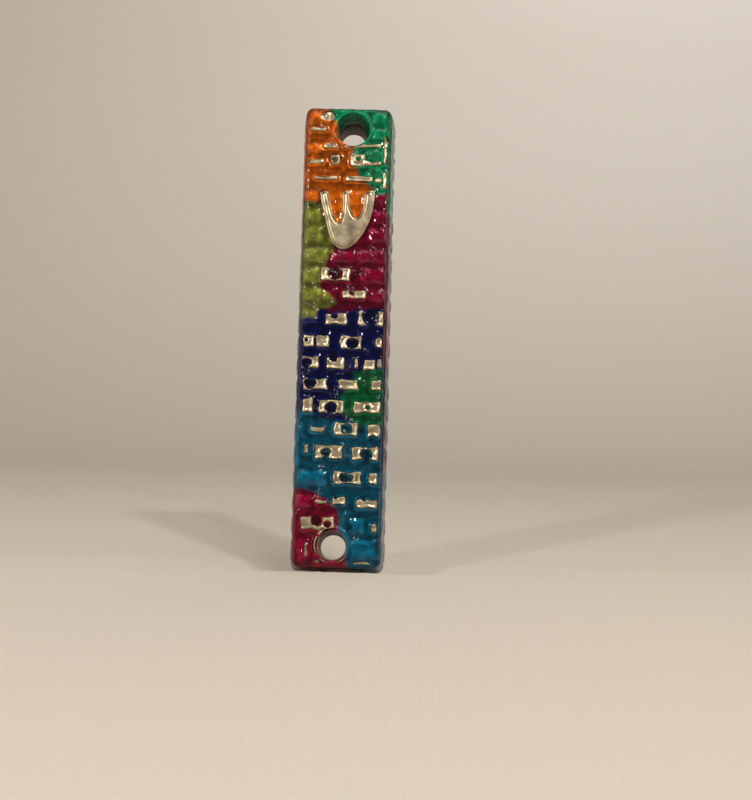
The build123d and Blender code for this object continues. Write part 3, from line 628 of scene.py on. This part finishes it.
# ---- materials --------------------------------------------------------------------------------
def cast_white_metal(colour):
    """Pewter-like casting alloy, tumbled: a warm silver with soft pitted gloss."""
    material, tree = new_material("cast_white_metal_tumbled")
    place = add_node(tree, "ShaderNodeTexCoord")
    polish_and_bore_shade = add_node(tree, "ShaderNodeAttribute", {"attribute_name": "polish_and_bore_shade"})
    grit = add_node(tree, "ShaderNodeTexNoise", links={"Vector": (place, "Object")},
                    inputs={"Scale": 1 / (0.6 * MM), "Detail": 3.0, "Roughness": 0.5})
    shade = add_node(tree, "ShaderNodeValToRGB", links={"Fac": (grit, "Fac")})
    shade.color_ramp.elements[0].position = 0.3
    shade.color_ramp.elements[0].color = [c * 0.86 for c in colour] + [1]
    shade.color_ramp.elements[1].position = 0.6
    shade.color_ramp.elements[1].color = list(colour) + [1]
    # The back is left as cast, duller than the tumbled front; the bores are painted near-black as
    # shade, the metal there being the same.
    as_cast_and_bore_shade = add_node(tree, "ShaderNodeMapRange", links={"Value": (polish_and_bore_shade, "Fac")},
                       inputs={"To Min": 0.08, "To Max": 1.0})
    # Patches of grey patina a millimetre or two across.
    patch = add_node(tree, "ShaderNodeTexNoise", links={"Vector": (place, "Object")},
                     inputs={"Scale": 1 / (1.5 * MM), "Detail": 2.0})
    patina = add_node(tree, "ShaderNodeMapRange", links={"Value": (patch, "Fac")},
                      inputs={"From Min": 0.36, "From Max": 0.62, "To Min": 0.55, "To Max": 1.05})
    bright = add_node(tree, "ShaderNodeMath", {"operation": "MULTIPLY"},
                      links={0: (as_cast_and_bore_shade, "Result"), 1: (patina, "Result")})
    metal_tone_and_bore_shade = add_node(tree, "ShaderNodeVectorMath", {"operation": "SCALE"},
                    links={"Vector": (shade, "Color"), "Scale": (bright, "Value")})
    rough = add_node(tree, "ShaderNodeMapRange", links={"Value": (polish_and_bore_shade, "Fac")},
                     inputs={"To Min": 0.5, "To Max": 0.3})
    bump = add_node(tree, "ShaderNodeBump", links={"Height": (grit, "Fac")},
                    inputs={"Strength": 0.3, "Distance": 0.035 * MM})
    shader = add_node(tree, "ShaderNodeBsdfPrincipled",
                      links={"Base Color": (metal_tone_and_bore_shade, "Vector"), "Roughness": (rough, "Result"),
                             "Normal": (bump, "Normal")},
                      inputs={"Metallic": 1.0})
    finish_material(tree, shader)
    return material


def cold_enamel(name, own_colour):
    """Coloured resin over bright metal: deep where thick, darker still where shade is painted in,
    glowing where thin, wet-looking.
    """
    material, tree = new_material("cold_enamel_" + name.removeprefix("enamel_"))
    tint = add_node(tree, "ShaderNodeAttribute", {"attribute_name": "tint"})
    depth_and_shade = add_node(tree, "ShaderNodeAttribute", {"attribute_name": "depth_and_shade"})
    place = add_node(tree, "ShaderNodeTexCoord")
    cloud = add_node(tree, "ShaderNodeTexNoise", links={"Vector": (place, "Object")},
                     inputs={"Scale": 1 / (1.1 * MM), "Detail": 3.0})
    # Thicker enamel and the painted shade in joints and pits darken the colour.
    deep_and_shade = add_node(tree, "ShaderNodeMapRange", links={"Value": (depth_and_shade, "Fac")},
                    inputs={"From Min": 0.2, "From Max": 0.78, "To Min": 1.25, "To Max": 0.08})
    vary = add_node(tree, "ShaderNodeMapRange", links={"Value": (cloud, "Fac")},
                    inputs={"From Min": 0.35, "From Max": 0.65, "To Min": 0.6, "To Max": 1.25})
    both = add_node(tree, "ShaderNodeMath", {"operation": "MULTIPLY"},
                    links={0: (deep_and_shade, "Result"), 1: (vary, "Result")})
    colour = add_node(tree, "ShaderNodeVectorMath", {"operation": "SCALE"},
                      links={"Vector": (tint, "Color"), "Scale": (both, "Value")})
    ripples = add_node(tree, "ShaderNodeTexNoise", links={"Vector": (place, "Object")},
                       inputs={"Scale": 1 / (1.4 * MM), "Detail": 1.0})
    flow = add_node(tree, "ShaderNodeBump", links={"Height": (ripples, "Fac")},
                    inputs={"Strength": 0.45, "Distance": 0.1 * MM})
    # Here and there fine grit under the gloss catches the light as a cluster of sparks.
    grit = add_node(tree, "ShaderNodeTexNoise", links={"Vector": (place, "Object")},
                    inputs={"Scale": 1 / (0.3 * MM), "Detail": 1.0})
    where = add_node(tree, "ShaderNodeTexNoise", links={"Vector": (place, "Object")},
                     inputs={"Scale": 1 / (1.7 * MM), "Detail": 1.0})
    cluster = add_node(tree, "ShaderNodeMapRange", links={"Value": (where, "Fac")},
                       inputs={"From Min": 0.55, "From Max": 0.63, "To Max": 0.9})
    bump = add_node(tree, "ShaderNodeBump", links={"Height": (grit, "Fac"),
                    "Strength": (cluster, "Result"), "Normal": (flow, "Normal")},
                    inputs={"Distance": 0.18 * MM})
    shader = add_node(tree, "ShaderNodeBsdfPrincipled",
                      links={"Base Color": (colour, "Vector"), "Normal": (bump, "Normal"),
                             "Coat Normal": (bump, "Normal")},
                      inputs={"Metallic": 0.35, "Roughness": 0.36, "IOR": 1.5,
                              "Specular IOR Level": 0.1, "Specular Tint": (*own_colour, 1),
                              "Coat Weight": 0.6, "Coat Roughness": 0.05, "Coat IOR": 1.5})
    finish_material(tree, shader)
    return material


def moulded_plastic():
    """Ivory polystyrene, as moulded: even, with a low sheen."""
    material, tree = new_material("polystyrene_ivory")
    shader = add_node(tree, "ShaderNodeBsdfPrincipled",
                      inputs={"Base Color": (*hex_linear("#DED6C2"), 1), "Roughness": 0.45,
                              "IOR": 1.55})
    finish_material(tree, shader)
    return material


def clear_film():
    """Thin cellophane: nearly clear, with a bright gloss."""
    material, tree = new_material("cellophane")
    shader = add_node(tree, "ShaderNodeBsdfPrincipled",
                      inputs={"Base Color": (*hex_linear("#F4F6F6"), 1), "Roughness": 0.08,
                              "IOR": 1.47, "Alpha": 0.22})
    finish_material(tree, shader)
    return material


def parchment():
    """Scraped skin: cream, mottled, with a fine tooth."""
    material, tree = new_material("parchment_scraped")
    place = add_node(tree, "ShaderNodeTexCoord")
    mottle = add_node(tree, "ShaderNodeTexNoise", links={"Vector": (place, "Object")},
                      inputs={"Scale": 1 / (3 * MM), "Detail": 5.0})
    shade = add_node(tree, "ShaderNodeValToRGB", links={"Fac": (mottle, "Fac")})
    shade.color_ramp.elements[0].color = (*hex_linear("#C9A878"), 1)
    shade.color_ramp.elements[1].color = (*hex_linear("#EBD9B4"), 1)
    bump = add_node(tree, "ShaderNodeBump", links={"Height": (mottle, "Fac")},
                    inputs={"Strength": 0.3, "Distance": 0.1 * MM})
    shader = add_node(tree, "ShaderNodeBsdfPrincipled",
                      links={"Base Color": (shade, "Color"), "Normal": (bump, "Normal")},
                      inputs={"Roughness": 0.75, "IOR": 1.5})
    finish_material(tree, shader)
    return material


def ribbed_cotton():
    """Pale cotton cloth with a fine rib, about 0.6 mm from thread to thread."""
    material, tree = new_material("cotton_ribbed_pale")
    place = add_node(tree, "ShaderNodeTexCoord")
    rib = add_node(tree, "ShaderNodeTexWave", {"wave_type": "BANDS", "bands_direction": "X"},
                   links={"Vector": (place, "Object")},
                   inputs={"Scale": 1 / (0.6 * MM) / 3.14, "Distortion": 0.6, "Detail": 1.0})
    bump = add_node(tree, "ShaderNodeBump", links={"Height": (rib, "Fac")},
                    inputs={"Strength": 0.25, "Distance": 0.12 * MM})
    shader = add_node(tree, "ShaderNodeBsdfPrincipled", links={"Normal": (bump, "Normal")},
                      inputs={"Base Color": (*hex_linear("#D9D1C6"), 1), "Roughness": 0.9,
                              "IOR": 1.5})
    finish_material(tree, shader)
    return material


# ---- operators --------------------------------------------------------------------------------
class MEZUZAH_OT_case(bpy.types.Operator):
    """Casting with its stone relief, and the enamel that lies on it"""
    bl_idname = "mezuzah.case"
    bl_label = "Casting and enamel"

    def execute(self, context):
        metal_look = context.scene.mezuzah_metal
        enamel_look = context.scene.mezuzah_enamel
        xs, ts, zs, casting, pools, thickness_and_shade = case_fields(
            metal_look.cell, metal_look.edge, enamel_look.level)
        plain = np.zeros(casting.shape, np.int8)
        place, quads, _, _ = surface(casting, plain, xs, ts, zs)
        points, quads = compact(place, quads)
        in_bore = np.full(len(points), 9.0)
        for hx, hz, mouth in HOLES:
            radial = np.hypot(points[:, 0] - hx, points[:, 2] - hz)
            in_bore = np.minimum(in_bore, radial - bore_radius(points[:, 1], mouth))
        # Polish: lower towards the back, which is left as cast, and nothing in the bores, where it
        # stands for painted shade.
        polish_and_bore_shade = smooth(in_bore, 0.02, 0.18) * (0.22 + 0.78 * smooth(points[:, 1], 1.5, 5.0))
        piece = mesh_object("casting_relief", to_frame(points), quads,
                            cast_white_metal(metal_look.white_metal),
                            attributes={"polish_and_bore_shade": polish_and_bore_shade})
        thin_out(piece, 0.38)
        piece.data.set_sharp_from_angle(angle=math.radians(50))
        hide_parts("case_casting")
        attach(piece, "case")

        face_x, face_z = np.meshgrid(xs, zs, indexing="ij")
        shares = colour_shares(face_x, face_z, enamel_look.bleed)
        names = list(PATCHES)
        owner = np.argmax(np.stack([shares[n] for n in names]), axis=0).astype(np.int8)
        label = np.broadcast_to(owner[:, None, :], pools.shape)
        place, quads, labels, real = surface(pools, label, xs, ts, zs)
        shown, shown_quads = compact(place, quads[real])
        whole = smooth_corner_normals(to_frame(shown), shown_quads, 50)
        normals = np.zeros((len(quads), 4, 3), np.float32)
        normals[real] = whole
        for number, name in enumerate(names):
            mine = labels == number
            points, faces = compact(place, quads[mine])
            spread = colour_shares(points[:, 0], points[:, 2], enamel_look.bleed)
            tint = sum(spread[n][:, None] * np.array(getattr(enamel_look, n)) for n in names)
            column = (np.searchsorted(xs, points[:, 0]).clip(0, len(xs) - 1),
                      np.searchsorted(zs, points[:, 2]).clip(0, len(zs) - 1))
            on_front = smooth(points[:, 1], DEPTH - 0.8, DEPTH)
            # On the front the colour follows the enamel's thickness with its painted shade; the sides
            # take a fixed depth.
            depth_and_shade = on_front * thickness_and_shade[column] + (1 - on_front) * 0.3
            piece = mesh_object(name + "_pool", to_frame(points), faces,
                                cold_enamel(name, getattr(enamel_look, name)), normals[mine],
                                {"tint": tint, "depth_and_shade": depth_and_shade})
            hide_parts(name)
            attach(piece, "case")
        return {"FINISHED"}


class MEZUZAH_OT_emblem(bpy.types.Operator):
    """Raised three-pronged emblem, in two soft steps"""
    bl_idname = "mezuzah.emblem"
    bl_label = "Emblem"

    def execute(self, context):
        cell = 0.09
        xs = np.arange(-4.6, 4.6, cell)
        zs = np.arange(EMBLEM_TOP - 10.0, EMBLEM_TOP + 0.8, cell)
        ts = np.arange(DEPTH - 0.2, DEPTH + 1.5, 0.06)
        face_x, face_z = np.meshgrid(xs, zs, indexing="ij")
        edge = emblem_distance(face_x, face_z)
        top = sum(height * smooth(-edge, start, end) for height, start, end in EMBLEM_STEPS)
        top += 0.012 * ripple(2.0, 51, face_x, face_z)
        t = ts[None, :, None]
        field = soft_larger(edge[:, None, :] - 0.1, t - (DEPTH + top[:, None, :]), 0.3)
        field = np.maximum(field, DEPTH - 0.05 - t)
        place, quads, _, _ = surface(field, np.zeros(field.shape, np.int8), xs, ts, zs)
        points, quads = compact(place, quads)
        piece = mesh_object("emblem_raised", to_frame(points), quads,
                            bpy.data.materials["cast_white_metal_tumbled"],
                            attributes={"polish_and_bore_shade": np.ones(len(points))})
        piece.data.set_sharp_from_angle(angle=math.radians(60))
        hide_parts("three_prong_emblem")
        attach(piece, "case")
        return {"FINISHED"}


class MEZUZAH_OT_inside(bpy.types.Operator):
    """Back cover, sleeve and rolled parchment"""
    bl_idname = "mezuzah.inside"
    bl_label = "Cover and scroll"

    def execute(self, context):
        for node, material in (("back_cover", moulded_plastic()), ("scroll_sleeve", clear_film())):
            piece = FRAME["nodes"][node]
            piece.data.materials.clear()
            piece.data.materials.append(material)
        low, high = (np.array(corner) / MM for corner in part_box("parchment_scroll"))
        outer = (high[0] - low[0]) / 2
        centre_y = (low[1] + high[1]) / 2
        skin, gap, turns = 0.25, 0.08, 3.6
        steps = 230
        angle = np.linspace(0, 2 * math.pi * turns, steps)
        outer_line = outer - 0.02 - (skin + gap) * angle / (2 * math.pi)
        inner_line = outer_line - skin
        ring = [[(r * math.cos(a), centre_y + r * math.sin(a)) for a, r in zip(angle, line)]
                for line in (outer_line, inner_line)]
        section = ring[0] + ring[1][::-1]
        points = [(x, y, z) for z in (low[2], high[2]) for x, y in section]
        n = len(section)
        quads = [(i, (i + 1) % n, n + (i + 1) % n, n + i) for i in range(n)]
        for level, turn in ((0, -1), (n, 1)):
            for i in range(steps - 1):
                quad = (level + i, level + i + 1, level + n - 2 - i, level + n - 1 - i)
                quads.append(quad[::turn])
        piece = mesh_object("parchment_rolled", points, quads, parchment())
        piece.data.set_sharp_from_angle(angle=math.radians(40))
        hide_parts("parchment_scroll")
        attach(piece, "scroll")
        return {"FINISHED"}


class MEZUZAH_OT_stage(bpy.types.Operator):
    """Pale cloth sweep, lights and camera"""
    bl_idname = "mezuzah.stage"
    bl_label = "Stage"

    def execute(self, context):
        # The cloth slopes gently up from front to back, lies level under the case, rises a little
        # more steeply just behind it and ends in a wall.
        low, _ = CAD_BOUNDS
        slope = math.radians(9)
        flat_from, flat_to, fold_to, rise_to = -0.012, 0.004, 0.012, 0.27
        fold = math.tan(math.radians(15))
        clearance = 0.0002
        profile = []
        lines = np.concatenate([np.linspace(-1.2, -0.03, 16), np.linspace(-0.025, 0.035, 41),
                                np.linspace(0.05, rise_to, 8)])
        for y in lines:
            beyond = min(y - flat_from, 0.0) + max(y - fold_to, 0.0)
            lift = min(max(y - flat_to, 0.0), fold_to - flat_to) * fold
            profile.append((y, low.z - clearance + beyond * math.tan(slope) + lift))
        y0, z0 = profile[-1]
        radius, steepest = 0.25, math.radians(88)
        for a in np.linspace(slope, steepest, 24)[1:]:
            profile.append((y0 + radius * (math.sin(a) - math.sin(slope)),
                            z0 + radius * (math.cos(slope) - math.cos(a))))
        y1, z1 = profile[-1]
        wall_height, lean, half_width = 0.6, 0.02, 0.9
        profile.append((y1 + lean, z1 + wall_height))
        mesh = bpy.data.meshes.new("cloth_sweep")
        points = [(side * half_width, y, z) for y, z in profile for side in (-1, 1)]
        faces = [(2 * i, 2 * i + 1, 2 * i + 3, 2 * i + 2) for i in range(len(profile) - 1)]
        mesh.from_pydata(points, [], faces)
        mesh.shade_smooth()
        mesh.materials.append(ribbed_cotton())
        sweep = bpy.data.objects.new("cloth_sweep", mesh)
        context.scene.collection.objects.link(sweep)

        for name, place, aim, size, power, spread, colour in LAMPS:
            light = bpy.data.lights.new(name, "AREA")
            light.shape = "DISK"
            light.size = size
            light.energy = power
            light.spread = math.radians(spread)
            light.color = hex_linear(colour)
            lamp = bpy.data.objects.new(name, light)
            lamp.location = place
            lamp.rotation_euler = (Vector(aim) - Vector(place)).to_track_quat("-Z", "Y").to_euler()
            context.scene.collection.objects.link(lamp)
        world = bpy.data.worlds.new("soft_room")
        world.use_nodes = True
        background = world.node_tree.nodes["Background"]
        background.inputs["Color"].default_value = (*hex_linear(ROOM_COLOUR), 1)
        background.inputs["Strength"].default_value = ROOM_LIGHT
        context.scene.world = world
        context.scene.view_settings.view_transform = "Standard"

        data = bpy.data.cameras.new("camera")
        data.sensor_width = SENSOR
        data.lens = LENS
        data.clip_start = 0.01
        data.clip_end = 10.0
        camera = bpy.data.objects.new("camera", data)
        # The turns are about across, down and away, one after another.
        seen = Matrix.Identity(3)
        for axis, degrees in CAMERA_TURNS:
            seen = Matrix.Rotation(math.radians(degrees), 3, axis) @ seen
        rows = [Vector((r[0], r[2], -r[1])) for r in seen]
        axes = Matrix((rows[0], -rows[1], -rows[2])).transposed()
        camera.matrix_world = Matrix.Translation(CAMERA_PLACE) @ axes.to_4x4()
        context.scene.collection.objects.link(camera)
        context.scene.camera = camera
        return {"FINISHED"}


class MEZUZAH_PT_panel(bpy.types.Panel):
    """Builds the mezuzah case piece by piece"""
    bl_label = "Mezuzah case"
    bl_idname = "MEZUZAH_PT_panel"
    bl_space_type = "VIEW_3D"
    bl_region_type = "UI"
    bl_category = "Mezuzah"

    def draw(self, context):
        for operator in OPERATORS:
            self.layout.operator(operator.bl_idname)
        for group in (context.scene.mezuzah_metal, context.scene.mezuzah_enamel):
            for key in group.bl_rna.properties.keys():
                if key not in ("rna_type", "name"):
                    self.layout.prop(group, key)


OPERATORS = (MEZUZAH_OT_case, MEZUZAH_OT_emblem, MEZUZAH_OT_inside, MEZUZAH_OT_stage)
CLASSES = (MezuzahMetal, MezuzahEnamel, *OPERATORS, MEZUZAH_PT_panel)


def register():
    for item in CLASSES:
        bpy.utils.register_class(item)
    bpy.types.Scene.mezuzah_metal = bpy.props.PointerProperty(type=MezuzahMetal)
    bpy.types.Scene.mezuzah_enamel = bpy.props.PointerProperty(type=MezuzahEnamel)


def unregister():
    del bpy.types.Scene.mezuzah_enamel
    del bpy.types.Scene.mezuzah_metal
    for item in reversed(CLASSES):
        bpy.utils.unregister_class(item)


def main():
    register()
    bpy.ops.mezuzah.case()
    bpy.ops.mezuzah.emblem()
    bpy.ops.mezuzah.inside()
    bpy.ops.mezuzah.stage()


if __name__ == "__main__":
    main()
